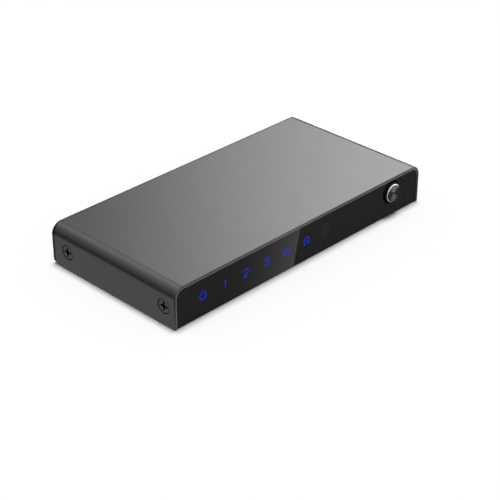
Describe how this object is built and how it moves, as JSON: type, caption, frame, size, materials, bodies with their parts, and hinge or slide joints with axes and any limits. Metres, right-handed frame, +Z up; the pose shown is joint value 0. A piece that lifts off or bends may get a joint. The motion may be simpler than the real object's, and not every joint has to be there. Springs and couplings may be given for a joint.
{
  "type": "hdmi switch box",
  "caption": "Low metal box that sends a chosen video input to a screen, with a gloss front panel, lit signs, a push button and video sockets at the rear.",
  "frame": {"origin": "on the floor plane under the middle of the case, where the feet stand", "axes": "+X to the right seen from the front, +Y to the rear with the sockets, +Z up"},
  "size_m": [0.14, 0.0713, 0.0177],
  "materials": {
    "cover_paint": "satin dark grey coating on bent sheet",
    "tray_paint": "matte black coating on bent sheet",
    "black_steel": "black oxide",
    "foot_rubber": "matte",
    "panel_gloss": "polished black",
    "adhesive": "double-sided film",
    "board": "solder mask",
    "brass": "gold flash",
    "plain_steel": "tin plated",
    "socket_steel": "nickel plated",
    "black_plastic": "moulded",
    "pale_plastic": "moulded",
    "infrared_plastic": "dark cast resin",
    "lamp": "clear resin",
    "button_metal": "turned face, polished rim",
    "thermal_pad": "soft pad",
    "black_aluminium": "black anodised",
    "can_aluminium": "drawn can",
    "ferrite": "ferrite",
    "ceramic": "ceramic"
  },
  "bodies": {
    "case": {"top_cover": "cover_paint", "base_tray": "tray_paint", "cover_screws": "black_steel", "rubber_feet": "foot_rubber", "front_panel": "panel_gloss", "panel_adhesive": "adhesive", "main_board": "board", "board_standoffs": "brass", "board_screws": "plain_steel", "power_socket_housing": "black_plastic", "power_socket_pin": "brass", "power_socket_spring": "brass", "push_switch_housing": "black_plastic", "push_switch_bracket": "plain_steel", "push_switch_dome": "plain_steel", "indicator_lamps": "lamp", "light_baffle": "black_plastic", "light_diffuser": "pale_plastic", "infrared_receiver": "infrared_plastic", "infrared_leads": "plain_steel", "switching_chip": "black_plastic", "thermal_pad": "thermal_pad", "heat_sink": "black_aluminium", "control_chip": "black_plastic", "crystal": "plain_steel", "voltage_regulator": "black_plastic", "coil": "ferrite", "can_capacitors": "can_aluminium", "chip_capacitors": "ceramic", "surge_arrays": "black_plastic", "hdmi_out_shell": "socket_steel", "hdmi_out_tongue": "black_plastic", "hdmi_out_contacts": "brass", "hdmi_in_1_shell": "socket_steel", "hdmi_in_1_tongue": "black_plastic", "hdmi_in_1_contacts": "brass", "hdmi_in_2_shell": "socket_steel", "hdmi_in_2_tongue": "black_plastic", "hdmi_in_2_contacts": "brass", "hdmi_in_3_shell": "socket_steel", "hdmi_in_3_tongue": "black_plastic", "hdmi_in_3_contacts": "brass"},
    "select_button": {"select_button_cap": "button_metal", "select_button_stem": "black_plastic", "push_switch_plunger": "pale_plastic"}
  },
  "joints": [
    {"name": "select_press", "type": "slide", "parent": "case", "child": "select_button", "axis": [0, 1, 0], "range_m": [0, 0.0005], "stiffness_N_per_m": 2400, "springref_m": -0.0002, "deforming": ["push_switch_dome"]}
  ]
}
